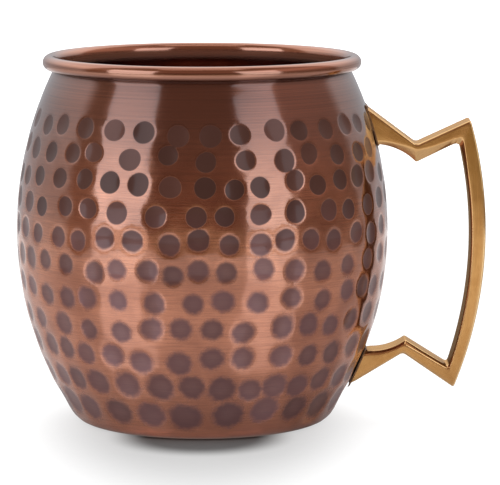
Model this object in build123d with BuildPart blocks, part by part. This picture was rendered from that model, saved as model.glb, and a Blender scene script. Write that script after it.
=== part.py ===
from build123d import *

import os
from math import atan2, cos, degrees, hypot, radians, sin, sqrt

# A barrel-shaped hammered copper mug with a cast brass handle, about 475 ml.
#
# The cup is one copper sheet, spun to a barrel, with a recessed base and its edge curled
# outward over a wire. The handle is a brass casting with two kinked arms, and each of its
# feet is brazed to the wall through a thin layer of filler. Nothing on the mug moves.
#
# Millimetres, +Z up. The origin is the centre of the base on the table. The handle points
# along +X and lies in the XZ plane. In the profile sketches x is the radius and y the height.

# Cup
belly_radius = 46.0  # outside, at its widest
belly_height = 47.5  # of the widest ring above the table
upper_arc = 90.0  # outside radius of the wall's curve above the belly
lower_arc = 83.0  # the same below the belly
corner_radius = 6.0  # outside, between the wall and the standing ring
sheet = 0.9
half_sheet = sheet / 2
base_recess = 1.2  # height of the base plate's underside above the table
ring_width = 3.2  # flat ring that the mug stands on

# Rim: the sheet curls round a wire
bead_radius = 1.8  # outside radius of the bead's own section
bead_ring_radius = 37.5  # from the mug's axis to the bead's centre
rim_height = 91.0
bead_height = rim_height - bead_radius
curl_radius = bead_radius - half_sheet  # mid-sheet
curl_turn = 285.0
wire_clearance = 0.05
wire_radius = bead_radius - sheet - wire_clearance

# Handle: the outline lies in the XZ plane
handle_width = 10.0
edge_round = 0.5
grip_outer_centre = (-31.7, 47.3)
grip_outer_arc = 101.75
grip_inner_centre = (-33.0, 45.7)
grip_inner_arc = 99.35
foot_depth = 6.0  # how far the outline runs into the wall before it is cut to fit
trim_depth = 12.0  # how deep the layer is that cuts the feet to fit the wall
upper_foot_top = (40.7, 78.1)
upper_valley = (52.9, 69.0)
upper_tip_height = 75.1
lower_tip_height = 8.5
lower_peak = (49.7, 17.2)
lower_foot_bottom = (37.3, 9.7)
upper_foot_under = (43.3, 69.1)
upper_foot_under_mid = (48.5, 67.7)
upper_point = (52.8, 64.6)
upper_inner_corner_height = 69.8
lower_inner_corner_height = 13.6
lower_point = (50.4, 20.3)
lower_foot_over_mid = (46.2, 18.2)
lower_foot_over = (41.3, 17.6)
valley_round = 1.5
upper_inner_round = 1.6
lower_inner_round = 0.9
tip_round = 0.6

# Brazed joints
braze_gap = 0.35
braze_lip = 0.25  # how far the filler shows round the foot

# Curve centres that follow from the sizes above
upper_centre = (belly_radius - upper_arc, belly_height)
lower_centre = (belly_radius - lower_arc, belly_height)
corner_centre = (
    lower_centre[0]
    + sqrt((lower_arc - corner_radius) ** 2 - (belly_height - corner_radius) ** 2),
    corner_radius,
)
corner_angle = degrees(
    atan2(corner_centre[1] - lower_centre[1], corner_centre[0] - lower_centre[0])
)

# The neck curves back to upright, tangent to the wall below it and to the curl above it
neck_run = bead_ring_radius - curl_radius - upper_centre[0]
neck_rise = bead_height - belly_height
wall_mid_arc = upper_arc - half_sheet
neck_arc = (neck_run**2 + neck_rise**2 - wall_mid_arc**2) / (2 * (wall_mid_arc - neck_run))
neck_centre = (bead_ring_radius - curl_radius + neck_arc, bead_height)
neck_angle = degrees(
    atan2(neck_centre[1] - upper_centre[1], neck_centre[0] - upper_centre[0])
)

# The base steps up by two equal bends of 45 degrees each
step_angle = 45.0
step_bend = base_recess / (2 * (1 - cos(radians(step_angle))))
step_run = 2 * step_bend * sin(radians(step_angle))
ring_inner_radius = corner_centre[0] - ring_width
plate_radius = ring_inner_radius - step_run
plate_height = base_recess + half_sheet


def draw_wall(out):
    """The barrel curve of the wall, `out` outside the sheet's middle."""
    CenterArc(lower_centre, lower_arc - half_sheet + out, corner_angle, -corner_angle)
    CenterArc(upper_centre, upper_arc - half_sheet + out, 0, neck_angle)


def draw_sheet_side(out):
    """One side of the sheet from the axis to the curl's free edge, `out` outside its middle."""
    Line((0, plate_height - out), (plate_radius, plate_height - out))
    CenterArc((plate_radius, plate_height - step_bend), step_bend - out, 90, -step_angle)
    CenterArc(
        (ring_inner_radius, half_sheet + step_bend), step_bend + out, 270 - step_angle, step_angle
    )
    Line((ring_inner_radius, half_sheet - out), (corner_centre[0], half_sheet - out))
    CenterArc(corner_centre, corner_radius - half_sheet + out, -90, 90 + corner_angle)
    draw_wall(out)
    CenterArc(neck_centre, neck_arc - out, 180 + neck_angle, -neck_angle)
    CenterArc((bead_ring_radius, bead_height), curl_radius - out, 180, -curl_turn)


def curl_end(radius):
    """A point on the curl's free edge, at this distance from the bead's centre."""
    angle = radians(180 - curl_turn)
    return (
        bead_ring_radius + radius * cos(angle),
        bead_height + radius * sin(angle),
    )


def draw_wall_layer(inner_out, outer_out):
    """The closed outline between two curves parallel to the wall."""
    draw_wall(inner_out)
    draw_wall(outer_out)
    for centre, arc, angle in (
        (lower_centre, lower_arc, corner_angle),
        (upper_centre, upper_arc, neck_angle),
    ):
        along = (cos(radians(angle)), sin(radians(angle)))
        ends = [
            (
                centre[0] + (arc - half_sheet + out) * along[0],
                centre[1] + (arc - half_sheet + out) * along[1],
            )
            for out in (inner_out, outer_out)
        ]
        Line(*ends)


def on_grip_arc(centre, radius, height):
    """The point at this height on one of the grip's two curves."""
    return (centre[0] + sqrt(radius**2 - (height - centre[1]) ** 2), height)


def beyond(start, end, distance):
    """The point this far past `end` on the line from `start`."""
    length = hypot(end[0] - start[0], end[1] - start[1])
    return (
        end[0] + (end[0] - start[0]) / length * distance,
        end[1] + (end[1] - start[1]) / length * distance,
    )


# Cup -----------------------------------------------------------------------------------

with BuildPart() as body_shell:
    with BuildSketch(Plane.XZ):
        with BuildLine():
            draw_sheet_side(half_sheet)
            draw_sheet_side(-half_sheet)
            Line((0, base_recess), (0, base_recess + sheet))
            Line(curl_end(bead_radius - sheet), curl_end(bead_radius))
        make_face()
    revolve(axis=Axis.Z)

with BuildPart() as rim_wire:
    with BuildSketch(Plane.XZ):
        with Locations((bead_ring_radius, bead_height)):
            Circle(wire_radius)
    revolve(axis=Axis.Z)

# Handle --------------------------------------------------------------------------------

outer_top = on_grip_arc(grip_outer_centre, grip_outer_arc, upper_tip_height)
outer_middle = on_grip_arc(grip_outer_centre, grip_outer_arc, grip_outer_centre[1])
outer_bottom = on_grip_arc(grip_outer_centre, grip_outer_arc, lower_tip_height)
inner_top = on_grip_arc(grip_inner_centre, grip_inner_arc, upper_inner_corner_height)
inner_middle = on_grip_arc(grip_inner_centre, grip_inner_arc, grip_inner_centre[1])
inner_bottom = on_grip_arc(grip_inner_centre, grip_inner_arc, lower_inner_corner_height)
upper_root_top = beyond(upper_valley, upper_foot_top, foot_depth)
upper_root_under = (upper_foot_under[0] - foot_depth, upper_foot_under[1])
lower_root_over = (lower_foot_over[0] - foot_depth, lower_foot_over[1])
lower_root_bottom = beyond(lower_peak, lower_foot_bottom, foot_depth)

with BuildSketch(Plane.XZ) as handle_outline:
    with BuildLine():
        Polyline(upper_root_top, upper_valley, outer_top)
        ThreePointArc(outer_top, outer_middle, outer_bottom)
        Polyline(outer_bottom, lower_peak, lower_root_bottom, lower_root_over, lower_foot_over)
        ThreePointArc(lower_foot_over, lower_foot_over_mid, lower_point)
        Line(lower_point, inner_bottom)
        ThreePointArc(inner_bottom, inner_middle, inner_top)
        Line(inner_top, upper_point)
        ThreePointArc(upper_point, upper_foot_under_mid, upper_foot_under)
        Polyline(upper_foot_under, upper_root_under, upper_root_top)
    make_face()
    for corner, radius in (
        (upper_valley, valley_round),
        (lower_peak, valley_round),
        (inner_top, upper_inner_round),
        (inner_bottom, lower_inner_round),
        (outer_top, tip_round),
        (outer_bottom, tip_round),
        (lower_point, tip_round),
        (upper_point, tip_round),
    ):
        fillet(handle_outline.vertices().sort_by_distance((corner[0], corner[1], 0))[0], radius)

with BuildPart() as handle:
    with BuildSketch(Plane.XZ):
        add(handle_outline.sketch_local)
    extrude(amount=handle_width / 2, both=True)
    fillet(handle.faces().filter_by(Axis.Y).edges(), edge_round)
    with BuildSketch(Plane.XZ):
        with BuildLine():
            draw_wall_layer(half_sheet - trim_depth, half_sheet + braze_gap)
        make_face()
    revolve(axis=Axis.Z, mode=Mode.SUBTRACT)

# Brazed joints -------------------------------------------------------------------------


def make_braze(side):
    """The filler between one foot and the wall: the layer of the gap, as wide as the foot."""
    with BuildPart() as braze:
        with BuildSketch(Plane.XZ):
            add(handle_outline.sketch_local)
            offset(amount=braze_lip)
        extrude(amount=handle_width / 2 + braze_lip, both=True)
        with BuildSketch(Plane.XZ):
            with BuildLine():
                draw_wall_layer(half_sheet, half_sheet + braze_gap)
            make_face()
        revolve(axis=Axis.Z, mode=Mode.INTERSECT)
        split(bisect_by=Plane.XY.offset(belly_height), keep=side)
    return braze.part


upper_braze = make_braze(Keep.TOP)
lower_braze = make_braze(Keep.BOTTOM)

# Write one STEP for each piece ---------------------------------------------------------

os.makedirs("parts", exist_ok=True)
for name, piece in (
    ("body_shell", body_shell.part),
    ("rim_wire", rim_wire.part),
    ("handle", handle.part),
    ("upper_braze", upper_braze),
    ("lower_braze", lower_braze),
):
    piece.label = name
    export_step(piece, f"parts/{name}.step")
    print(name, round(piece.volume), "mm3", piece.bounding_box().size)
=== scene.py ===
"""Looks for the hammered copper mug: its metals, the hammer marks on its wall, and a plain studio.

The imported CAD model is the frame. The cup and the handle are built again here at the same
sizes, with the surface detail that the CAD leaves out. Lengths are in metres.
"""

import random
from math import asin, atan2, cos, pi, radians, sin, sqrt

import bpy
import numpy as np
from mathutils import Matrix, Vector
from mathutils.geometry import delaunay_2d_cdt


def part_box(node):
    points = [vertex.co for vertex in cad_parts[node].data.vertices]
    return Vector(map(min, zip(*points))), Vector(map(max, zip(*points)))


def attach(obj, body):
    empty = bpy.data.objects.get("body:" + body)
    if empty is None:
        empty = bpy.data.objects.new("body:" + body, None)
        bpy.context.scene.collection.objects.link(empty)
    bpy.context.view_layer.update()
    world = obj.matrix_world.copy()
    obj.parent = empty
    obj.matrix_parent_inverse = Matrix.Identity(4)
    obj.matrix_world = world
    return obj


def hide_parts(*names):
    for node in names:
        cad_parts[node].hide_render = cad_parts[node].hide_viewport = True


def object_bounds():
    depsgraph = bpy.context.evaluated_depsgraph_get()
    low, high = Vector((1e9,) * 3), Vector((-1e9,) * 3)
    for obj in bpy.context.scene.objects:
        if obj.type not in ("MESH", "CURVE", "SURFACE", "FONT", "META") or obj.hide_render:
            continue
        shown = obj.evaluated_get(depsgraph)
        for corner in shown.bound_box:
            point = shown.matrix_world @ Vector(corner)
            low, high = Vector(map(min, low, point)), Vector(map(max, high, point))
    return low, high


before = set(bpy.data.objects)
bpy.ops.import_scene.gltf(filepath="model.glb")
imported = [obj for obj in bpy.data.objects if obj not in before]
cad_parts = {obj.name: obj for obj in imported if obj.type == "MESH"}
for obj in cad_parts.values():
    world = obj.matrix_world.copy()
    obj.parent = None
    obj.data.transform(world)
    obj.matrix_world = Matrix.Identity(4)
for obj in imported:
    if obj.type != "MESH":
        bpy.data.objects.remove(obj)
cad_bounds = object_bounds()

mm = 0.001
cad_low, cad_high = (Vector(corner) for corner in cad_bounds)

# ---------------------------------------- sizes of the cup
shell_low, shell_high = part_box("body_shell")
wire_low, wire_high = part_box("rim_wire")
belly_radius = (shell_high.x - shell_low.x) / 2
rim_height = shell_high.z
bead_height = (wire_low.z + wire_high.z) / 2
bead_radius = rim_height - bead_height
bead_ring_radius = wire_high.x - (wire_high.z - wire_low.z) / 2
belly_height = 47.5 * mm
upper_arc = 90 * mm
lower_arc = 83 * mm
corner_radius = 6 * mm
sheet = 0.9 * mm
base_recess = 1.2 * mm
ring_width = 3.2 * mm
curl_turn = radians(285)
step_angle = radians(45)

upper_centre = belly_radius - upper_arc
lower_centre = belly_radius - lower_arc
corner_centre = lower_centre + sqrt(
    (lower_arc - corner_radius) ** 2 - (belly_height - corner_radius) ** 2
)
corner_angle = atan2(corner_radius - belly_height, corner_centre - lower_centre)
corner_run = lower_arc * corner_angle
neck_rise = bead_height - belly_height
neck_run = bead_ring_radius - bead_radius + sheet / 2 - upper_centre
mid_arc = upper_arc - sheet / 2
neck_arc = (neck_run**2 + neck_rise**2 - mid_arc**2) / (2 * (mid_arc - neck_run))
neck_centre = bead_ring_radius - bead_radius + sheet / 2 + neck_arc
neck_angle = atan2(neck_rise, neck_centre - upper_centre)
ring_inner = corner_centre - ring_width
step_bend = base_recess / (2 * (1 - cos(step_angle)))
plate_radius = ring_inner - 2 * step_bend * sin(step_angle)

# ---------------------------------------- the hammer marks
# One pair for each row, from the top: how many marks go round, and where the first one stands, in
# degrees from the front towards the handle. A run is a distance up the wall's surface from the
# belly.
hammer_rows = (
    (33, -7), (32, -10), (37, -9), (33, -1), (37, -9), (37, -8),
    (35, -2), (32, -6), (31, -7), (31, -3), (25, -6),
)
hammer_seed = 7
top_row_run = 28.7 * mm
row_pitch = 6.3 * mm
row_pitch_growth = 0.09 * mm  # half of what each pitch gains on the one above
row_lift = 0.9 * mm  # the most that a mark stands off its row
step_spread = 0.22  # of the even step between two marks
mark_width = 5.4 * mm
mark_growth = 3.0 * mm  # from the top row to the bottom one
mark_growth_power = 4
size_spread = (0.93, 1.08)
mark_depth = 0.05  # of its width
depth_spread = (0.85, 1.15)
most_oval = 0.05
most_three_sided = 0.025
edge_round_top = 0.1  # of its depth, in the top row
edge_round_growth = 0.6  # from the top row to the bottom one
dish_depth = 0.14 * mm  # of the wide shallow dish round each mark, in the bottom row
dish_reach = 1.9  # times the mark's radius
dish_blend = 8  # higher leaves a sharper crest between dishes
lip_height = 0.02 * mm  # of the slight lip pushed up round each mark
lip_place = 1.13  # times the mark's radius
lip_width = 0.09
zone_low_run = -49.4 * mm
zone_high_run = 33.6 * mm
columns = 240
ridge_spacing = 1.25 * mm
ridge_row_step = 0.87  # of the spacing
ridge_jitter = 0.15  # of the spacing
ridge_clearance = 1.3  # times a mark's radius
ridge_seed = 11
far_from_marks = 3.0  # the share of a point that is in no mark
points_at_once = 2000
seam_lap = 0.35  # radians of the unrolled cup, repeated beyond each side of its seam
same_point = 1e-7  # in mm
# Each ring of points in a mark: its share of the mark's radius, and how many points it has.
mark_rings = ((0.3, 7), (0.56, 12), (0.76, 16), (0.89, 20), (0.97, 22), (1.04, 22), (1.16, 22))
mark_fields = (
    "turn", "run", "radius", "depth", "girth", "oval", "oval_turn", "lobes", "lobe_turn", "tone",
    "edge_round", "dish",
)


def outside(run, out=0.0):
    """Radius and height on the cup's outer face at this run of surface above the belly."""
    if run > 0:
        centre, arc, angle, level = upper_centre, upper_arc, run / upper_arc, belly_height
    elif run > corner_run:
        centre, arc, angle, level = lower_centre, lower_arc, run / lower_arc, belly_height
    else:
        centre, arc, level = corner_centre, corner_radius, corner_radius
        angle = corner_angle + (run - corner_run) / corner_radius
    return centre + (arc + out) * cos(angle), level + (arc + out) * sin(angle)


def hammer_marks():
    """Every mark as a row of the mark fields.

    The girth is the cup's radius at the mark, and the dish is the depth of the one round it.
    """
    marks = []
    last = len(hammer_rows) - 1
    draw = random.Random(hammer_seed)
    for row, (count, first) in enumerate(hammer_rows):
        steps = [1 + draw.uniform(-step_spread, step_spread) for _ in range(count)]
        lifts = [draw.uniform(-row_lift, row_lift) for _ in range(count)]
        level = top_row_run - row_pitch * row - row_pitch_growth * row * (row - 1)
        width = mark_width + mark_growth * (row / last) ** mark_growth_power
        turn = radians(first)
        for step, lift in zip(steps, lifts):
            size = width * draw.uniform(*size_spread)
            run = level + lift
            marks.append((
                turn % (2 * pi),
                run,
                size / 2,
                size * mark_depth * draw.uniform(*depth_spread),
                outside(run)[0],
                draw.uniform(0.0, most_oval),
                draw.uniform(0, pi),
                draw.uniform(0.0, most_three_sided),
                draw.uniform(0, 2 * pi),
                draw.random(),
                edge_round_top + edge_round_growth * row / last,
                dish_depth * row / last,
            ))
            turn += 2 * pi * step / sum(steps)
    return np.array(marks, dtype=[(name, float) for name in mark_fields])


def mark_reach(marks, angle):
    """The marks' radius in this direction: a little oval, and a little three-sided."""
    oval = marks["oval"] * np.cos(2 * (angle - marks["oval_turn"]))
    lobes = marks["lobes"] * np.cos(3 * (angle - marks["lobe_turn"]))
    return marks["radius"] * (1 + oval + lobes)


def nearest_mark(marks, turns, runs):
    """For each point: how deep it lies, which mark it lies in, and how far out in that mark."""
    depth, owner, share = [], [], []
    for start in range(0, len(turns), points_at_once):
        turn = turns[start:start + points_at_once, None]
        run = runs[start:start + points_at_once, None]
        across = ((turn - marks["turn"] + pi) % (2 * pi) - pi) * marks["girth"]
        up = run - marks["run"]
        out = np.hypot(across, up) / mark_reach(marks, np.arctan2(up, across))
        bowl = marks["depth"] * (1 - out**2)
        best = bowl.argmax(1)
        pick = np.arange(len(best)), best
        soft = marks["depth"][best] * marks["edge_round"][best]
        lip = lip_height * np.exp(-(((out[pick] - lip_place) / lip_width) ** 2))
        dishes = marks["dish"] * np.clip(1 - (out / dish_reach) ** 2, 0, None)
        dish = (dishes**dish_blend).sum(1) ** (1 / dish_blend)
        depth.append((bowl[pick] + np.sqrt(bowl[pick] ** 2 + soft**2)) / 2 + dish - lip)
        owner.append(best)
        share.append(out[pick])
    return np.concatenate(depth), np.concatenate(owner), np.concatenate(share)


def mark_points(marks):
    """Turns and runs of the rings of points in every mark, without those that lie in another."""
    turns, runs, owners = [], [], []
    for index, mark in enumerate(marks):
        turns.append(mark["turn"])
        runs.append(mark["run"])
        owners.append(index)
        for ring, (share, count) in enumerate(mark_rings):
            for k in range(count):
                angle = 2 * pi * (k + 0.5 * (ring % 2)) / count + index
                reach = share * mark_reach(mark, angle)
                turns.append(mark["turn"] + reach * cos(angle) / mark["girth"])
                runs.append(mark["run"] + reach * sin(angle))
                owners.append(index)
    turns, runs, owners = np.array(turns), np.array(runs), np.array(owners)
    _, owner, _ = nearest_mark(marks, turns, runs)
    edge = ridge_spacing / 3
    kept = (owner == owners) & (runs > zone_low_run + edge) & (runs < zone_high_run - edge)
    return turns[kept] % (2 * pi), runs[kept]


def ridge_points(marks):
    """Turns and runs of the scattered points on the ridges between the marks."""
    turns, runs = [], []
    draw = random.Random(ridge_seed)
    wander = ridge_spacing * ridge_jitter
    height = zone_high_run - zone_low_run
    rows = round(height / (ridge_spacing * ridge_row_step))
    for row in range(1, rows):
        run = zone_low_run + height * row / rows
        around = round(2 * pi * outside(run)[0] / ridge_spacing)
        for k in range(around):
            place = k + 0.5 * (row % 2) + draw.uniform(-ridge_jitter, ridge_jitter)
            turns.append(2 * pi * place / around)
            runs.append(run + draw.uniform(-wander, wander))
    turns, runs = np.array(turns) % (2 * pi), np.array(runs)
    _, _, share = nearest_mark(marks, turns, runs)
    free = share > ridge_clearance
    return turns[free], runs[free]


def triangulate(turns, runs):
    """Triangles over points on the unrolled cup, closed all the way round."""
    index = np.arange(len(turns))
    right, left = turns < seam_lap, turns > 2 * pi - seam_lap
    all_turns = np.concatenate((turns, turns[right] + 2 * pi, turns[left] - 2 * pi))
    all_runs = np.concatenate((runs, runs[right], runs[left]))
    source = np.concatenate((index, index[right], index[left]))
    flat = [Vector((t * belly_radius / mm, r / mm)) for t, r in zip(all_turns, all_runs)]
    _, _, faces, origin, _, _ = delaunay_2d_cdt(flat, [], [], 0, same_point)
    if any(len(o) != 1 for o in origin):
        raise RuntimeError("two points of the hammered zone fell together")
    kept = []
    for face in faces:
        corners = [origin[v][0] for v in face]
        middle = sum(all_turns[c] for c in corners) / 3
        if 0 <= middle < 2 * pi:
            kept.append(tuple(int(source[c]) for c in corners))
    return kept


def arc(centre, level, radius, start, end, count, first=1):
    """Points along an arc in the radius and height plane, from its point number `first`."""
    angles = [start + (end - start) * k / count for k in range(first, count + 1)]
    return [(centre + radius * cos(a), level + radius * sin(a)) for a in angles]


def spread(start, end, count):
    """Evenly spaced values after start, up to and with end."""
    return [start + (end - start) * k / count for k in range(1, count + 1)]


neck_top_run = upper_arc * neck_angle
wall_foot_run = corner_run - corner_radius * (pi / 2 + corner_angle)
bend_high = base_recess + sheet / 2 - step_bend
bend_low = sheet / 2 + step_bend
band_points = 6
outer_neck_points = 6
inner_neck_points = 5
inner_curl_points = 10
outer_curl_points = 28
step_points = 4
foot_points = 5
plate_rings = (0.08, 0.25, 0.5, 0.75)  # of the plate's radius


def rim_path():
    """The sheet's outline from the top of the hammered zone, round the curl, to the neck's inside."""
    up = pi + neck_angle
    end = pi - curl_turn
    path = [outside(run) for run in spread(zone_high_run, neck_top_run, band_points)]
    path += arc(neck_centre, bead_height, neck_arc - sheet / 2, up, pi, outer_neck_points)
    path += arc(bead_ring_radius, bead_height, bead_radius - sheet, pi, end, inner_curl_points)
    path += arc(bead_ring_radius, bead_height, bead_radius, end, pi, outer_curl_points, first=0)
    path += arc(neck_centre, bead_height, neck_arc + sheet / 2, pi, up, inner_neck_points)
    return path


def floor_path():
    """The inside of the base, from the corner to nearly the middle."""
    turned = -pi / 2 - step_angle
    path = [(ring_inner, sheet)]
    path += arc(ring_inner, bend_low, step_bend - sheet / 2, -pi / 2, turned, step_points)
    path += arc(plate_radius, bend_high, step_bend + sheet / 2, step_angle, pi / 2, step_points)
    path += [(plate_radius * share, base_recess + sheet) for share in reversed(plate_rings)]
    return path


def under_path():
    """The underside, from nearly the middle to the foot of the hammered zone."""
    turned = -pi / 2 - step_angle
    high, low = step_bend - sheet / 2, step_bend + sheet / 2
    path = [(plate_radius * share, base_recess) for share in plate_rings]
    path += arc(plate_radius, bend_high, high, pi / 2, step_angle, step_points, first=0)
    path += arc(ring_inner, bend_low, low, turned, -pi / 2, step_points)
    path += [(corner_centre, 0.0)]
    path += [outside(run) for run in spread(wall_foot_run, zone_low_run, foot_points)[:-1]]
    return path


class Lathe:
    """Collects the cup's points, faces and surface values."""

    def __init__(self):
        self.points = []
        self.faces = []
        self.values = {"share": [], "tone": [], "lathe": [], "polish": [], "inside": []}
        self.count = 0

    def add(self, points, share, tone, lathe, polish, inside):
        """Adds points with their values and returns their indices."""
        start = self.count
        self.points.append(points)
        self.count += len(points)
        for name, value in zip(self.values, (share, tone, lathe, polish, inside)):
            self.values[name].append(np.broadcast_to(np.asarray(value, float), len(points)))
        return np.arange(start, self.count)

    def ring(self, radius, level, lathe, polish=0.0, inside=0.0):
        """A ring of points round the axis, in no mark."""
        x, y = radius * np.sin(column_turns), -radius * np.cos(column_turns)
        points = np.stack((x, y, np.broadcast_to(level, x.shape)), 1)
        return self.add(points, far_from_marks, middle_tone, lathe, polish, inside)

    def bridge(self, low, high):
        """Quads between two rings, facing out where high is the upper one."""
        for a, b, c, d in zip(low, np.roll(low, -1), np.roll(high, -1), high):
            self.faces.append((int(a), int(b), int(c), int(d)))

    def close(self, ring, level, lathe, inside, facing):
        """A fan from a ring to the axis, facing up for 1 and down for -1."""
        point = np.array([[0.0, 0.0, level]])
        centre = int(self.add(point, far_from_marks, middle_tone, lathe, 0.0, inside)[0])
        for a, b in zip(ring, np.roll(ring, -1)):
            self.faces.append((int(a), int(b), centre) if facing > 0 else (int(b), int(a), centre))


column_turns = 2 * pi * np.arange(columns) / columns
middle_tone = 0.5
inside_bump = 0.45  # how much of a mark's depth shows on the inside
inside_rows = 66
inside_fade_points = 3  # over which the outside's look gives way to the inside's
bead_foot = bead_height - bead_radius * 1.2  # where the bead's polish begins
bead_side = bead_ring_radius - bead_radius * 1.1


def limited(value):
    """The value, held between 0 and 1."""
    return min(max(value, 0.0), 1.0)


def build_cup():
    """The whole sheet as one closed mesh, with the hammer marks, which show faintly inside."""
    marks = hammer_marks()
    turns, runs = (np.concatenate(pair) for pair in zip(mark_points(marks), ridge_points(marks)))
    for run in (zone_low_run, zone_high_run):
        turns = np.append(turns, column_turns)
        runs = np.append(runs, np.full(columns, run))
    faces = triangulate(turns, runs)
    depth, owner, share = nearest_mark(marks, turns, runs)
    places = np.array([outside(run, -down - lip_height) for run, down in zip(runs, depth)])
    radii, levels = places.T
    points = np.stack((radii * np.sin(turns), -radii * np.cos(turns), levels), 1)
    cup = Lathe()
    zone = cup.add(points, share, marks["tone"][owner], runs, 0.0, 0.0)
    cup.faces += [tuple(int(zone[v]) for v in face) for face in faces]
    foot, head = zone[-2 * columns:-columns], zone[-columns:]

    ring, lathe, last = head, zone_high_run, outside(zone_high_run)
    path = rim_path()
    last_outside = len(path) - inner_neck_points - inside_fade_points + 1
    for number, (radius, level) in enumerate(path):
        lathe += sqrt((radius - last[0]) ** 2 + (level - last[1]) ** 2)
        last = (radius, level)
        polish = limited((level - bead_foot) / bead_radius) if radius > bead_side else 0.0
        inside = limited((number - last_outside) / inside_fade_points)
        following = cup.ring(radius, level, lathe, polish=polish, inside=inside)
        cup.bridge(ring, following)
        ring = following
    for run in spread(neck_top_run, wall_foot_run, inside_rows):
        lathe += (neck_top_run - wall_foot_run) / inside_rows
        radius, level = outside(run, -sheet)
        depth, _, _ = nearest_mark(marks, column_turns, np.full(columns, run))
        following = cup.ring(radius - depth * inside_bump, level, lathe, inside=1.0)
        cup.bridge(ring, following)
        ring = following
    last = (radius, level)
    for radius, level in floor_path():
        lathe += sqrt((radius - last[0]) ** 2 + (level - last[1]) ** 2)
        last = (radius, level)
        following = cup.ring(radius, level, lathe, inside=1.0)
        cup.bridge(ring, following)
        ring = following
    cup.close(ring, base_recess + sheet, lathe, 1.0, 1)

    ring, lathe, last = None, 0.0, (0.0, base_recess)
    for radius, level in under_path():
        lathe -= sqrt((radius - last[0]) ** 2 + (level - last[1]) ** 2)
        last = (radius, level)
        following = cup.ring(radius, level, lathe)
        if ring is None:
            cup.close(following, base_recess, lathe, 0.0, -1)
        else:
            cup.bridge(ring, following)
        ring = following
    cup.bridge(ring, foot)
    return cup


sharp_angle = radians(50)


def mesh_object(name, points, faces, values=None):
    """A smooth-shaded object from points and faces, with its surface values as attributes."""
    mesh = bpy.data.meshes.new(name)
    mesh.from_pydata([tuple(p) for p in points], [], faces)
    for key, value in (values or {}).items():
        layer = mesh.attributes.new(key, "FLOAT", "POINT")
        layer.data.foreach_set("value", np.asarray(value, np.float32))
    mesh.shade_smooth()
    mesh.set_sharp_from_angle(angle=sharp_angle)
    thing = bpy.data.objects.new(name, mesh)
    bpy.context.scene.collection.objects.link(thing)
    return thing


def make_cup():
    """The cup in the CAD sheet's place."""
    cup = build_cup()
    values = {key: np.concatenate(parts) for key, parts in cup.values.items()}
    thing = mesh_object("hammered_cup", np.concatenate(cup.points), cup.faces, values)
    thing.data.materials.append(copper())
    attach(thing, "root")
    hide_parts("body_shell")


# ---------------------------------------- the handle
# Its outline in the XZ plane, as in the CAD: the runs of its outer and its inner side, from the
# upper foot to the lower one. Both feet start inside the wall and are cut back to the brazed joint.
handle_low, handle_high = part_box("handle")
half_width = (handle_high.y - handle_low.y) / 2
grip_outer = (-31.7 * mm, 47.3 * mm, 101.75 * mm)  # centre and radius of the grip's outer curve
grip_inner = (-33.0 * mm, 45.7 * mm, 99.35 * mm)
upper_tip_height = 75.1 * mm
lower_tip_height = 8.5 * mm
upper_inner_corner_height = 69.8 * mm
lower_inner_corner_height = 13.6 * mm
upper_foot_top = (40.7 * mm, 78.1 * mm)
upper_valley = (52.9 * mm, 69.0 * mm)
lower_peak = (49.7 * mm, 17.2 * mm)
lower_foot_bottom = (37.3 * mm, 9.7 * mm)
upper_foot_under = (43.3 * mm, 69.1 * mm)
upper_foot_under_mid = (48.5 * mm, 67.7 * mm)
upper_point = (52.8 * mm, 64.6 * mm)
lower_point = (50.4 * mm, 20.3 * mm)
lower_foot_over_mid = (46.2 * mm, 18.2 * mm)
lower_foot_over = (41.3 * mm, 17.6 * mm)
outer_corner_cuts = (0.9 * mm, 0.7 * mm, 0.7 * mm, 0.9 * mm)  # where each corner's round starts
inner_corner_cuts = (0.45 * mm, 1.95 * mm, 1.0 * mm, 0.4 * mm)
run_stations = (16, 16, 44, 16, 16)
corner_stations = 6
outer_edge_round = 0.6 * mm
crease_round = 0.35 * mm
inner_edge_round = 0.3 * mm
edge_points = 5
crease_points = 4
face_shares = (0.25, 0.5, 0.75)  # of the way over the side face, where it has points
braze_gap = 0.35 * mm
wall_steps = 12  # in the search for where the handle meets the wall
least_approach = 0.2  # how square to the wall a foot is taken to be, at the least
# The cast bevel along the inner edge: where along the handle (in runs from the upper foot), how
# wide it is on the face, and how far it falls back to the side.
inner_bevel = (
    (0.0, 0.8 * mm, 0.6 * mm),
    (0.5, 1.5 * mm, 0.9 * mm),
    (0.8, 2.4 * mm, 1.2 * mm),
    (1.0, 3.0 * mm, 1.4 * mm),
    (1.25, 2.5 * mm, 1.3 * mm),
    (1.95, 2.2 * mm, 1.2 * mm),
    (2.12, 0.8 * mm, 0.7 * mm),
    (2.4, 0.45 * mm, 0.5 * mm),
    (2.8, 0.4 * mm, 0.5 * mm),
    (3.1, 0.8 * mm, 0.8 * mm),
    (4.0, 1.0 * mm, 1.0 * mm),
    (5.0, 0.8 * mm, 0.8 * mm),
)


def circle_through(a, b, c):
    """Centre and radius of the circle through three points."""
    rows = np.array([[b[0] - a[0], b[1] - a[1]], [c[0] - a[0], c[1] - a[1]]])
    sides = np.array([np.dot(b, b) - np.dot(a, a), np.dot(c, c) - np.dot(a, a)]) / 2
    centre = np.linalg.solve(rows, sides)
    return centre[0], centre[1], float(np.hypot(a[0] - centre[0], a[1] - centre[1]))


def curve_between(circle, start, end, count=40):
    """Points along the shorter arc of a circle between two points on it."""
    first = atan2(start[1] - circle[1], start[0] - circle[0])
    last = atan2(end[1] - circle[1], end[0] - circle[0])
    sweep = (last - first + pi) % (2 * pi) - pi
    angles = first + sweep * np.arange(count + 1) / count
    x, z = circle[0] + circle[2] * np.cos(angles), circle[1] + circle[2] * np.sin(angles)
    return np.stack((x, z), 1)


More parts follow.
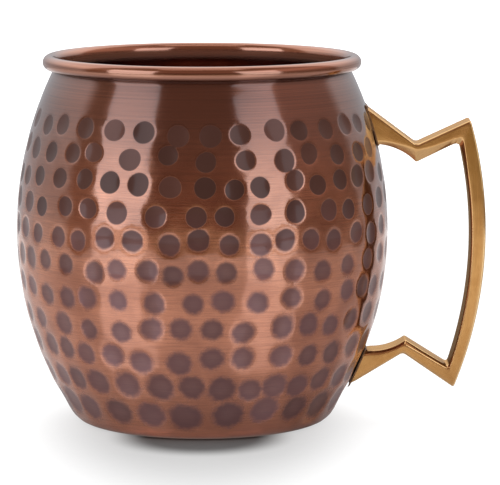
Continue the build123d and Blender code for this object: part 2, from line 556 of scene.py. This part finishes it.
def at_height(circle, height):
    """The point of a grip curve at this height."""
    return circle[0] + sqrt(circle[2] ** 2 - (height - circle[1]) ** 2), height


def evenly(points, cut_start, cut_end, count):
    """Evenly spaced points along a line of points, short of its ends by the two cuts."""
    steps = np.hypot(*np.diff(points, axis=0).T)
    reach = np.concatenate(([0.0], np.cumsum(steps)))
    at = np.linspace(cut_start, reach[-1] - cut_end, count)
    return np.stack((np.interp(at, reach, points[:, 0]), np.interp(at, reach, points[:, 1])), 1)


def side_path(runs, cuts):
    """One side of the handle: its runs joined by rounded corners, and each point's run number."""
    path, where = [], []
    for number, run in enumerate(runs):
        run = np.array(run)
        before = cuts[number - 1] if number else 0.0
        after = cuts[number] if number < len(cuts) else 0.0
        points = evenly(run, before, after, run_stations[number])
        if number:
            start, corner, end = path[-1], run[0], points[0]
            for k in range(1, corner_stations):
                u = k / corner_stations
                path.append((1 - u) ** 2 * start + 2 * u * (1 - u) * corner + u**2 * end)
                where.append(number)
        path.extend(points)
        share = np.linspace(0.0, 1.0, len(points))
        where.extend(number + share)
    return np.array(path), np.array(where)


def handle_sides():
    """The outer and the inner side of the handle, point for point."""
    outer_top = at_height(grip_outer, upper_tip_height)
    outer_bottom = at_height(grip_outer, lower_tip_height)
    inner_top = at_height(grip_inner, upper_inner_corner_height)
    inner_bottom = at_height(grip_inner, lower_inner_corner_height)
    outer = (
        (upper_foot_top, upper_valley),
        (upper_valley, outer_top),
        curve_between(grip_outer, outer_top, outer_bottom),
        (outer_bottom, lower_peak),
        (lower_peak, lower_foot_bottom),
    )
    under = circle_through(upper_foot_under, upper_foot_under_mid, upper_point)
    over = circle_through(lower_point, lower_foot_over_mid, lower_foot_over)
    inner = (
        curve_between(under, upper_foot_under, upper_point),
        (upper_point, inner_top),
        curve_between(grip_inner, inner_top, inner_bottom),
        (inner_bottom, lower_point),
        curve_between(over, lower_point, lower_foot_over),
    )
    outer_side, where = side_path(outer, outer_corner_cuts)
    inner_side, _ = side_path(inner, inner_corner_cuts)
    return outer_side, inner_side, where


def bend(start, corner, end, count):
    """Points round a corner, between start and end."""
    start, corner, end = np.array(start), np.array(corner), np.array(end)
    shares = [k / count for k in range(1, count)]
    return [(1 - u) ** 2 * start + 2 * u * (1 - u) * corner + u**2 * end for u in shares]


def half_section(thick, bevel, fall):
    """Half of the handle's section, from the middle of its outer side to that of its inner side.

    Each point is how far in from the outer side, how far out from the middle plane, and how
    much of a polished edge it is on.
    """
    flat = thick - bevel
    low = half_width - fall
    slope = np.array((bevel, -fall)) / sqrt(bevel**2 + fall**2)
    outer_start, outer_end = (0.0, half_width - outer_edge_round), (outer_edge_round, half_width)
    crease_start = (flat - crease_round, half_width)
    crease_end = np.array((flat, half_width)) + slope * crease_round
    inner_start = np.array((thick, low)) - slope * inner_edge_round
    inner_end = (thick, low - inner_edge_round)
    points = [(0.0, 0.0, 0.0), (0.0, half_width * 0.5, 0.0), (*outer_start, 0.5)]
    points += [(*p, 1.0) for p in bend(outer_start, (0.0, half_width), outer_end, edge_points)]
    points.append((*outer_end, 0.4))
    room = crease_start[0] - outer_end[0]
    points += [(outer_end[0] + room * u, half_width, 0.0) for u in face_shares]
    points.append((*crease_start, 0.1))
    points += [(*p, 0.5) for p in bend(crease_start, (flat, half_width), crease_end, crease_points)]
    points.append((*crease_end, 0.7))
    points.append((*((crease_end + inner_start) / 2), 0.7))
    points.append((*inner_start, 0.8))
    points += [(*p, 1.0) for p in bend(inner_start, (thick, low), inner_end, edge_points)]
    points.append((*inner_end, 0.4))
    points.append((thick, half_width * 0.4, 0.0))
    points.append((thick, 0.0, 0.0))
    return points


def run_at_height(height):
    """The run on the wall whose surface is at this height."""
    if height > belly_height:
        return upper_arc * asin(min((height - belly_height) / upper_arc, 1.0))
    return lower_arc * asin(max((height - belly_height) / lower_arc, -1.0))


def to_wall(point, along):
    """The place where a line from this point along this direction meets the brazed joint."""
    place, step = point.copy(), along / np.linalg.norm(along)
    for _ in range(wall_steps):
        radius = outside(run_at_height(place[2]), braze_gap)[0]
        gap = np.hypot(place[0], place[1]) - radius
        place = place + step * gap / max(-step[0], least_approach)
    return place


def build_handle():
    """The casting: its section drawn along both sides, with each foot cut to the wall."""
    outer, inner, where = handle_sides()
    keys = np.array(inner_bevel)
    bevels = np.interp(where, keys[:, 0], keys[:, 1])
    falls = np.interp(where, keys[:, 0], keys[:, 2])
    middle = (outer + inner) / 2
    steps = np.hypot(*np.diff(middle, axis=0).T)
    travel = np.concatenate(([0.0], np.cumsum(steps)))
    points, edges, alongs, acrosses, faces = [], [], [], [], []
    rings, halves = [], []
    for k, (a, b) in enumerate(zip(outer, inner)):
        thick = float(np.hypot(*(b - a)))
        half = half_section(thick, bevels[k], falls[k])
        halves.append(half)
        loop = half + [(s, -y, e) for s, y, e in reversed(half[1:-1])]
        ring = []
        for s, y, edge in loop:
            x, z = a + (b - a) * (s / thick)
            ring.append(len(points))
            points.append(np.array((x, -y, z)))
            edges.append(edge)
            alongs.append(travel[k])
            acrosses.append(s + y)
        rings.append(ring)
    half_count = len(half)
    for low, high in zip(rings, rings[1:]):
        for a, b, c, d in zip(low, low[1:] + low[:1], high[1:] + high[:1], high):
            faces.append((a, b, c, d))
    for end, before, turned in ((0, 1, False), (-1, -2, True)):
        ring = rings[end]
        along = middle[end] - middle[before]
        along = np.array((along[0], 0.0, along[1]))
        for v in ring:
            points[v] = to_wall(points[v], along)
        depths = [s for s, _, _ in halves[end]]
        between = [i for i in range(half_count) if 0.0 < depths[i] < depths[-1]]
        centres = {}
        for i in between:
            near, far = points[ring[i]], points[ring[-i]]
            centres[i] = len(points)
            points.append(to_wall((near + far) / 2, along))
            edges.append(0.0)
            alongs.append(alongs[ring[i]])
            acrosses.append(acrosses[ring[i]])
        spine = [centres[min(max(i, between[0]), between[-1])] for i in range(half_count)]
        near = ring[:half_count]
        far = [ring[-i] for i in range(half_count)]
        for side, flip in ((near, turned), (far, not turned)):
            for i in range(half_count - 1):
                face = tuple(dict.fromkeys((side[i], side[i + 1], spine[i + 1], spine[i])))
                faces.append(face if flip else face[::-1])
    return points, faces, {"edge": edges, "along": alongs, "across": acrosses}


def make_handle():
    """The casting in the CAD handle's place, with a UV map that its brushing follows."""
    points, faces, values = build_handle()
    thing = mesh_object("cast_handle", points, faces, values)
    corners = np.empty(len(thing.data.loops), int)
    thing.data.loops.foreach_get("vertex_index", corners)
    grid = np.stack((np.array(values["along"])[corners], np.array(values["across"])[corners]), 1)
    brushing = thing.data.uv_layers.new(name="brushing")
    brushing.uv.foreach_set("vector", grid.astype(np.float32).ravel())
    thing.data.materials.append(brass())
    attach(thing, "root")
    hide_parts("handle")


# ---------------------------------------- materials
def value_or_link(tree, socket, value):
    """Sets a socket to a value, or links another socket to it."""
    if isinstance(value, bpy.types.NodeSocket):
        tree.links.new(value, socket)
    else:
        socket.default_value = value


class Shader:
    """The nodes of a material or the world, with short calls for the kinds used most."""

    def __init__(self, name, world=None):
        self.material = world or bpy.data.materials.new(name)
        self.material.use_nodes = True
        self.tree = self.material.node_tree
        self.tree.nodes.clear()

    def node(self, kind, settings=None, slots=None, **inputs):
        """A node with its settings, and its inputs by number or by name, a _ for each space."""
        made = self.tree.nodes.new("ShaderNode" + kind)
        for key, value in (settings or {}).items():
            setattr(made, key, value)
        for slot, value in (slots or {}).items():
            value_or_link(self.tree, made.inputs[slot], value)
        for key, value in inputs.items():
            value_or_link(self.tree, made.inputs[key.replace("_", " ")], value)
        return made

    def surface_value(self, name):
        """A value that the mesh carries at each of its points."""
        return self.node("Attribute", {"attribute_name": name}).outputs["Fac"]

    def math(self, operation, a, b=0.0):
        return self.node("Math", {"operation": operation}, {0: a, 1: b}).outputs[0]

    def plus(self, a, b):
        return self.math("ADD", a, b)

    def minus(self, a, b):
        return self.math("SUBTRACT", a, b)

    def times(self, a, b):
        return self.math("MULTIPLY", a, b)

    def ramp(self, value, low, high, to_low=0.0, to_high=1.0):
        """Smoothly from to_low at low to to_high at high."""
        slots = {0: value, 1: low, 2: high, 3: to_low, 4: to_high}
        return self.node("MapRange", {"interpolation_type": "SMOOTHSTEP"}, slots).outputs[0]

    def mix(self, share, a, b):
        """A colour between a and b."""
        return self.node("Mix", {"data_type": "RGBA"}, {0: share, 6: a, 7: b}).outputs[2]

    def mix_value(self, share, a, b):
        """A number between a and b."""
        return self.node("Mix", {"data_type": "FLOAT"}, {0: share, 2: a, 3: b}).outputs[0]

    def noise(self, vector, scale=1.0, detail=2.0, roughness=0.5):
        inputs = {"Vector": vector, "Scale": scale, "Detail": detail, "Roughness": roughness}
        return self.node("TexNoise", **inputs).outputs["Fac"]

    def position(self):
        return self.node("TexCoord").outputs["Object"]

    def finish(self, shader, kind="OutputMaterial"):
        output = self.node(kind)
        self.tree.links.new(shader.outputs[0], output.inputs[0])
        return self.material


def colour(red, green, blue):
    return (red, green, blue, 1.0)


def lathe_streaks(shader, along, across):
    """Noise drawn out round the cup's axis, as a lathe and a buffing wheel leave it."""
    split = shader.node("SeparateXYZ", Vector=shader.position())
    joined = shader.node(
        "CombineXYZ",
        X=shader.times(split.outputs[0], along),
        Y=shader.times(split.outputs[1], along),
        Z=shader.times(shader.surface_value("lathe"), across),
    )
    return shader.noise(joined.outputs[0])


# Where the copper's look changes: runs on the outside, and heights in the mouth.
band_fade = (5 * mm, 34 * mm)
worn_fade = (16 * mm, -14 * mm)
low_ridge_fade = (0.0, -30 * mm)
# painted shade: the colour is darkened in the crease under the bead
under_bead_shade_fade = (neck_top_run + 0.2 * mm, neck_top_run + 1.6 * mm)
band_lacquer_fade = (26 * mm, 36 * mm)
low_lacquer_fade = (-12 * mm, 10 * mm)
mouth_satin_fade = (86.4 * mm, 89.8 * mm)
mouth_brown_fade = (89.5 * mm, 86.8 * mm)
# How close its streaks lie, round the axis and across them.
fine_streaks = (30.0, 7000.0)
broad_streaks = (9.0, 3600.0)
short_streaks = (150.0, 7000.0)
# Its colours. A pair is mixed by noise, and a mark's pair by the mark's tone.
ridge_colours = colour(0.7, 0.29, 0.165), colour(0.5, 0.195, 0.11)
low_ridge_colour = colour(0.44, 0.175, 0.12)
ridge_streak_colour = colour(0.3, 0.11, 0.066)
band_colours = colour(0.22, 0.08, 0.047), colour(0.145, 0.049, 0.029)
# painted shade, for the crease under the bead
under_bead_shade_colour = colour(0.11, 0.042, 0.028)
crisp_mark_colours = colour(0.07, 0.026, 0.018), colour(0.12, 0.044, 0.03)
worn_mark_colours = colour(0.105, 0.051, 0.064), colour(0.16, 0.081, 0.098)
worn_middle_colour = colour(0.2, 0.115, 0.12)
bead_colours = colour(0.52, 0.25, 0.165), colour(0.38, 0.165, 0.108)
inside_colours = colour(0.68, 0.235, 0.13), colour(0.54, 0.18, 0.1)
mouth_colour = colour(0.46, 0.23, 0.17)
# Its roughness, and what each part adds to it or takes off it.
copper_rough = 0.2
streak_rough = 0.16
mark_rough = 0.26
inside_polish = 0.03
bead_polish = 0.04
brushing_depth = 0.03 * mm


def copper():
    """Antique copper: dark in the hammer marks, brushed bright on the ridges, under a lacquer.

    The lacquer is thinner in the marks, low down and on the bead. The inside has nearly none of
    it, and is satin and browner near the rim.
    """
    s = Shader("antique_copper")
    share = s.surface_value("share")
    tone = s.surface_value("tone")
    polish = s.surface_value("polish")
    inside = s.surface_value("inside")
    run = s.surface_value("lathe")
    place = s.position()

    fine = lathe_streaks(s, *fine_streaks)
    broad = lathe_streaks(s, *broad_streaks)
    short = lathe_streaks(s, *short_streaks)
    cloud = s.noise(place, 85.0, 3.0)
    grain = s.noise(place, 2600.0)
    ragged = s.noise(place, 700.0)

    high_up = s.ramp(run, *band_fade)
    low_down = s.ramp(run, *worn_fade)
    # painted shade in the crease under the bead
    under_bead_shade = s.ramp(run, *under_bead_shade_fade)

    def fading(top, bottom):
        return s.ramp(low_down, 0.0, 1.0, top, bottom)

    blur = fading(0.1, 0.5)
    halo = fading(1.0, 1.16)
    uneven = s.plus(s.times(s.minus(grain, 0.5), 0.2), share)
    uneven = s.plus(s.times(s.minus(ragged, 0.5), 0.35), uneven)
    frayed = s.mix_value(low_down, share, uneven)
    depth_in = s.math("DIVIDE", s.minus(halo, frayed), blur)
    in_mark = s.ramp(depth_in, 0.0, 1.0)

    brushed = s.plus(s.times(fine, 0.6), s.times(broad, 0.4))
    streaked = s.ramp(brushed, 0.6, 0.35)
    bright = s.mix(s.ramp(cloud, 0.38, 0.66), *ridge_colours)
    bright = s.mix(s.ramp(run, *low_ridge_fade, 0.0, 0.25), bright, low_ridge_colour)
    ridge = s.mix(s.ramp(short, 0.62, 0.3, 0.0, 0.5), bright, ridge_streak_colour)
    outer = s.mix(high_up, ridge, s.mix(streaked, *band_colours))
    # painted shade: darkens the copper in the crease under the bead
    outer = s.mix(under_bead_shade, outer, under_bead_shade_colour)
    worn = s.mix(tone, *worn_mark_colours)
    worn = s.mix(s.ramp(share, 0.7, 0.15, 0.0, 0.4), worn, worn_middle_colour)
    patina = s.mix(low_down, s.mix(tone, *crisp_mark_colours), worn)
    outer = s.mix(s.times(in_mark, fading(1.0, 0.82)), outer, patina)
    height = s.node("SeparateXYZ", Vector=place).outputs[2]
    inner = s.mix(streaked, *inside_colours)
    inner = s.mix(s.ramp(height, *mouth_brown_fade), inner, mouth_colour)
    outer = s.mix(polish, outer, s.mix(streaked, *bead_colours))
    base = s.mix(inside, outer, inner)

    metallic = s.minus(1.0, s.times(in_mark, fading(0.4, 0.2)))
    satin = s.times(inside, s.ramp(height, *mouth_satin_fade, 0.0, 0.8))
    metallic = s.minus(metallic, satin)
    streaks = s.times(s.minus(brushed, 0.5), streak_rough)
    rough = s.plus(copper_rough, streaks)
    rough = s.plus(rough, s.times(in_mark, mark_rough))
    rough = s.minus(rough, s.times(inside, inside_polish))
    rough = s.minus(rough, s.times(polish, bead_polish))

    dull_mark = s.times(in_mark, fading(0.75, 0.35))
    worn_off = s.math("MAXIMUM", dull_mark, s.times(inside, 0.85))
    lacquer = s.minus(1.0, worn_off)
    lacquer = s.times(lacquer, s.ramp(run, *band_lacquer_fade, 1.0, 0.85))
    lacquer = s.times(lacquer, s.ramp(run, *low_lacquer_fade, 0.55, 1.0))
    lacquer = s.times(lacquer, s.ramp(polish, 0.0, 1.0, 1.0, 0.4))

    free = s.minus(1.0, s.times(in_mark, 0.6))
    relief = s.times(s.plus(fine, s.times(short, 0.5)), free)
    bump = s.node("Bump", Height=relief, Strength=0.18, Distance=brushing_depth)
    tangent = s.node("Tangent", {"direction_type": "RADIAL", "axis": "Z"})
    metal = s.node(
        "BsdfPrincipled",
        Base_Color=base,
        Metallic=metallic,
        Roughness=rough,
        Normal=bump.outputs[0],
        Tangent=tangent.outputs[0],
        Anisotropic=0.85,
        Anisotropic_Rotation=0.25,
        Coat_Weight=lacquer,
        Coat_Roughness=0.1,
        Coat_IOR=1.7,
    )
    return s.finish(metal)


brass_colours = colour(0.9, 0.5, 0.18), colour(0.8, 0.42, 0.14)
brass_scratch_colour = colour(0.6, 0.3, 0.09)
brass_edge_colour = colour(0.97, 0.68, 0.36)
# painted shade, for the faces that turn towards the cup
brass_shade_colour = colour(0.13, 0.065, 0.025)


def brass():
    """Cast brass, brushed along the handle, a little darkened, with brighter edges.

    The parts of it that face the cup are darker, as painted shade, and rougher.
    """
    s = Shader("brushed_brass")
    edge = s.surface_value("edge")
    line = s.node(
        "CombineXYZ",
        X=s.times(s.surface_value("along"), 130.0),
        Y=s.times(s.surface_value("across"), 2600.0),
    )
    scratches = s.noise(line.outputs[0], detail=3.0)
    cloud = s.noise(s.position(), 190.0, 4.0, 0.6)
    base = s.mix(s.ramp(cloud, 0.38, 0.66), *brass_colours)
    base = s.mix(s.ramp(scratches, 0.6, 0.25, 0.0, 0.35), base, brass_scratch_colour)
    base = s.mix(s.times(edge, 0.7), base, brass_edge_colour)
    rough = s.plus(s.times(scratches, 0.06), s.ramp(edge, 0.0, 1.0, 0.16, 0.12))
    facing = s.node("SeparateXYZ", Vector=s.node("TexCoord").outputs["Normal"]).outputs[0]
    # painted shade: darker where the handle faces the cup; it is also made rougher there
    cup_side_shade = s.ramp(facing, -0.6, -0.95, 0.0, 0.85)
    base = s.mix(cup_side_shade, base, brass_shade_colour)
    rough = s.plus(rough, s.times(cup_side_shade, 0.25))
    bump = s.node("Bump", Height=scratches, Strength=0.2, Distance=brushing_depth)
    tangent = s.node("Tangent", {"direction_type": "UV_MAP", "uv_map": "brushing"})
    metal = s.node(
        "BsdfPrincipled",
        Base_Color=base,
        Metallic=1.0,
        Roughness=rough,
        Normal=bump.outputs[0],
        Tangent=tangent.outputs[0],
        Anisotropic=0.8,
        Anisotropic_Rotation=0.25,
        Specular_Tint=colour(1.0, 0.85, 0.62),
    )
    return s.finish(metal)


def filler():
    """Brazing filler: dull, dark and a little rough."""
    s = Shader("brazing_filler")
    mottle = s.noise(s.position(), 1500.0, 3.0)
    base = s.mix(s.ramp(mottle, 0.35, 0.7), colour(0.2, 0.1, 0.05), colour(0.36, 0.2, 0.1))
    bump = s.node("Bump", Height=mottle, Strength=0.4, Distance=0.06 * mm)
    metal = s.node(
        "BsdfPrincipled", Base_Color=base, Metallic=0.8, Roughness=0.5, Normal=bump.outputs[0]
    )
    return s.finish(metal)


def wire_copper():
    """Bare drawn copper wire."""
    s = Shader("copper_wire")
    drawn = s.noise(s.position(), 1200.0)
    base = s.mix(s.ramp(drawn, 0.35, 0.65), colour(0.8, 0.42, 0.3), colour(0.6, 0.28, 0.18))
    metal = s.node("BsdfPrincipled", Base_Color=base, Metallic=1.0, Roughness=0.35)
    return s.finish(metal)


def dress(node, material):
    """Gives a CAD node its material in every slot."""
    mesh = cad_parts[node].data
    if not mesh.materials:
        mesh.materials.append(material)
    for slot in range(len(mesh.materials)):
        mesh.materials[slot] = material


# ---------------------------------------- the studio
floor_near = 0.42
floor_far = 6.0
floor_sides = 96
floor_gap = 0.02 * mm
neutral = (1.0, 1.0, 1.0)
white = colour(*neutral)


def distance_from(shader, split, sideways_weight, ahead):
    """How far a place on the floor is from a point this far ahead of the axis.

    Distance sideways counts for more or less, as its weight says.
    """
    sideways = shader.math("POWER", shader.times(split[0], sideways_weight), 2.0)
    forward = shader.math("POWER", shader.plus(split[1], ahead), 2.0)
    return shader.math("SQRT", shader.plus(sideways, forward))


def paper():
    """The pale floor, which glows except in the soft shadow under the mug, painted by holding the
    glow back.

    Metal sees it darker, with the reflection of a lacquered table top and a painted sheen, which is
    held back near the mug and dims to the sides as painted shade.
    """
    s = Shader("pale_floor")
    tooth = s.noise(s.position(), 400.0)
    split = s.node("SeparateXYZ", Vector=s.position()).outputs
    # Painted shadow: the glow is held back close to the mug, most of all in front of it.
    near = s.ramp(distance_from(s, split, 1.1, 26 * mm), 14 * mm, 26 * mm, 0.0, 0.5)
    far = s.ramp(distance_from(s, split, 2.4, 20 * mm), 35 * mm, 120 * mm, 0.0, 0.42)
    glow = s.plus(near, far)
    pale = s.node(
        "BsdfPrincipled",
        Base_Color=s.mix(tooth, colour(0.2, 0.2, 0.2), colour(0.22, 0.22, 0.22)),
        Roughness=0.9,
        Specular_IOR_Level=0.0,
        Emission_Color=white,
        Emission_Strength=glow,
    )
    around = distance_from(s, split, 1.0, 0.0)
    # Painted shade in what the metal mirrors: the painted sheen is weaker close to the mug.
    close_by = s.ramp(around, 28 * mm, 60 * mm, 0.13, 0.28)
    further_off = s.ramp(around, 80 * mm, 350 * mm, 0.0, 0.16)
    painted_sheen = s.plus(close_by, further_off)
    aside = s.math("DIVIDE", split[0], around)
    # Painted shade: the painted sheen dims to the sides, most on the handle's side.
    painted_sheen = s.times(painted_sheen, s.ramp(aside, 0.5, 0.8, 1.0, 0.35))
    painted_sheen = s.times(painted_sheen, s.ramp(aside, -0.5, -0.85, 1.0, 0.7))
    table = s.node(
        "BsdfPrincipled",
        Base_Color=colour(0.62, 0.6, 0.6),
        Metallic=0.5,
        Roughness=0.2,
        Emission_Color=white,
        Emission_Strength=painted_sheen,
    )
    glossy = s.node("LightPath").outputs["Is Glossy Ray"]
    slots = {0: glossy, 1: pale.outputs[0], 2: table.outputs[0]}
    return s.finish(s.node("MixShader", slots=slots))


def sweep_paper():
    """The floor further off, made plain white by a painted glow that grows with distance."""
    s = Shader("white_sweep")
    distance = s.node("VectorMath", {"operation": "LENGTH"}, {0: s.position()}).outputs["Value"]
    glow = s.ramp(distance, floor_near, floor_near * 2, 0.0, 0.6)
    paper_far = s.node(
        "BsdfPrincipled",
        Base_Color=colour(0.9, 0.9, 0.9),
        Roughness=0.9,
        Emission_Color=white,
        Emission_Strength=glow,
    )
    return s.finish(paper_far)


def make_floor():
    """A near floor that the metal mirrors, and a far one that it doesn't."""
    level = cad_low.z - floor_gap
    rings = (
        (0.0, floor_near, "near_floor", paper()),
        (floor_near, floor_far, "far_floor", sweep_paper()),
    )
    turns = [2 * pi * k / floor_sides for k in range(floor_sides)]
    for inner, outer, name, material in rings:
        points = [(outer * cos(t), outer * sin(t), level) for t in turns]
        faces = [tuple(range(floor_sides))]
        if inner:
            points += [(inner * cos(t), inner * sin(t), level) for t in turns]
            pairs = [(k, (k + 1) % floor_sides) for k in range(floor_sides)]
            faces = [(k, after, floor_sides + after, floor_sides + k) for k, after in pairs]
        ground = mesh_object(name, points, faces)
        ground.data.materials.append(material)
        if inner:
            ground.visible_glossy = False


def make_lamp(name, turn, distance, height, width, tall, lean, radiance, roll=0, tint=neutral):
    """A rectangular lamp facing the cup's axis.

    turn is its place in degrees from the front towards the handle. lean tips its top towards
    the cup, and roll tips its top sideways, towards a smaller turn.
    """
    lamp = bpy.data.lights.new(name, "AREA")
    lamp.shape = "RECTANGLE"
    lamp.size = width
    lamp.size_y = tall
    lamp.energy = radiance * pi * width * tall
    lamp.color = tint
    thing = bpy.data.objects.new(name, lamp)
    bpy.context.scene.collection.objects.link(thing)
    a = radians(turn)
    thing.location = (distance * sin(a), -distance * cos(a), height)
    upright = Matrix.Rotation(a, 4, "Z") @ Matrix.Rotation(pi / 2, 4, "X")
    tipped = Matrix.Rotation(radians(-lean), 4, "X") @ Matrix.Rotation(radians(roll), 4, "Z")
    thing.rotation_euler = (upright @ tipped).to_euler()
    thing.visible_camera = False
    return thing


def make_world():
    """White to the camera and as the floor's light; metal mirrors a pale sweep and a dim warm room.

    It is sampled only by the rays that reach it, so that each kind of ray finds its own colour.
    """
    world = bpy.data.worlds.new("studio")
    bpy.context.scene.world = world
    world.cycles.sampling_method = "NONE"
    s = Shader(world.name, world)
    split = s.node("SeparateXYZ", Vector=s.node("TexCoord").outputs["Generated"]).outputs
    behind = s.minus(split[1], s.times(split[0], 0.2))
    sideways = s.math("ABSOLUTE", split[0])
    up = split[2]
    front = s.mix(s.ramp(up, 0.05, 0.55), colour(0.15, 0.084, 0.064), colour(0.3, 0.19, 0.142))
    front = s.mix(s.ramp(up, 0.02, -0.04), front, colour(0.22, 0.17, 0.09))
    left = s.mix(s.ramp(up, -0.2, 0.4), colour(0.22, 0.145, 0.11), colour(0.4, 0.27, 0.2))
    right = s.mix(s.ramp(up, 0.0, 0.6), colour(0.2, 0.14, 0.11), colour(0.66, 0.46, 0.39))
    side = s.mix(s.ramp(split[0], -0.3, 0.3), left, right)
    room = s.mix(s.ramp(sideways, 0.3, 0.85), front, side)
    sweep = s.mix(s.ramp(up, 0.0, 0.6), colour(0.45, 0.45, 0.47), colour(1.25, 1.25, 1.28))
    mirrored = s.mix(s.ramp(behind, 0.15, 0.35), room, sweep)
    again = s.ramp(s.node("LightPath").outputs["Glossy Depth"], 1.0, 2.0, 0.0, 0.75)
    mirrored = s.mix(again, mirrored, colour(0.1, 0.06, 0.045))
    glossy = s.node("LightPath").outputs["Is Glossy Ray"]
    light = s.mix(glossy, white, mirrored)
    s.finish(s.node("Background", Color=light), "OutputWorld")


camera_lens = 251.6  # in mm, on a sensor 36 mm wide
camera_lift = radians(7.67)
camera_distance = 0.8678
aim_aside = -0.2 * mm  # from the middle of the mug's box
aim_up = -1.36 * mm


def make_camera():
    """At the height and distance that give the mug its outline, aimed a little under its middle."""
    lens = bpy.data.cameras.new("camera")
    lens.sensor_width = 36.0
    lens.lens = camera_lens
    lens.clip_end = 50.0
    thing = bpy.data.objects.new("camera", lens)
    bpy.context.scene.collection.objects.link(thing)
    middle = (cad_low + cad_high) / 2
    aim = Vector((middle.x + aim_aside, 0.0, middle.z + aim_up))
    away = Vector((0.0, -cos(camera_lift), sin(camera_lift)))
    thing.location = aim + away * camera_distance
    thing.rotation_euler = away.to_track_quat("Z", "Y").to_euler()
    bpy.context.scene.camera = thing


make_camera()
make_world()
make_floor()
cool = (0.7, 0.86, 1.0)
left_softbox = make_lamp(
    "left_softbox", turn=-52.5, distance=0.9, height=0.41, width=0.6, tall=0.79,
    lean=12, radiance=1.75, roll=5, tint=cool,
)
right_softbox = make_lamp(
    "right_softbox", turn=43.5, distance=0.9, height=0.39, width=0.5, tall=0.8,
    lean=16, radiance=1.45, tint=cool,
)
overhead = make_lamp(
    "overhead", turn=0, distance=0.12, height=1.0, width=0.6, tall=0.34, lean=83, radiance=0.7
)
key = make_lamp(
    "key_from_above", turn=180, distance=0.45, height=1.1, width=0.8, tall=0.8, lean=68,
    radiance=4.2,
)
for lamp in (left_softbox, right_softbox, overhead):
    lamp.visible_diffuse = False
key.visible_glossy = False
make_cup()
make_handle()
dress("rim_wire", wire_copper())
metal_filler = filler()
dress("upper_braze", metal_filler)
dress("lower_braze", metal_filler)

view = bpy.context.scene.view_settings
view.view_transform = "Standard"
view.look = "None"
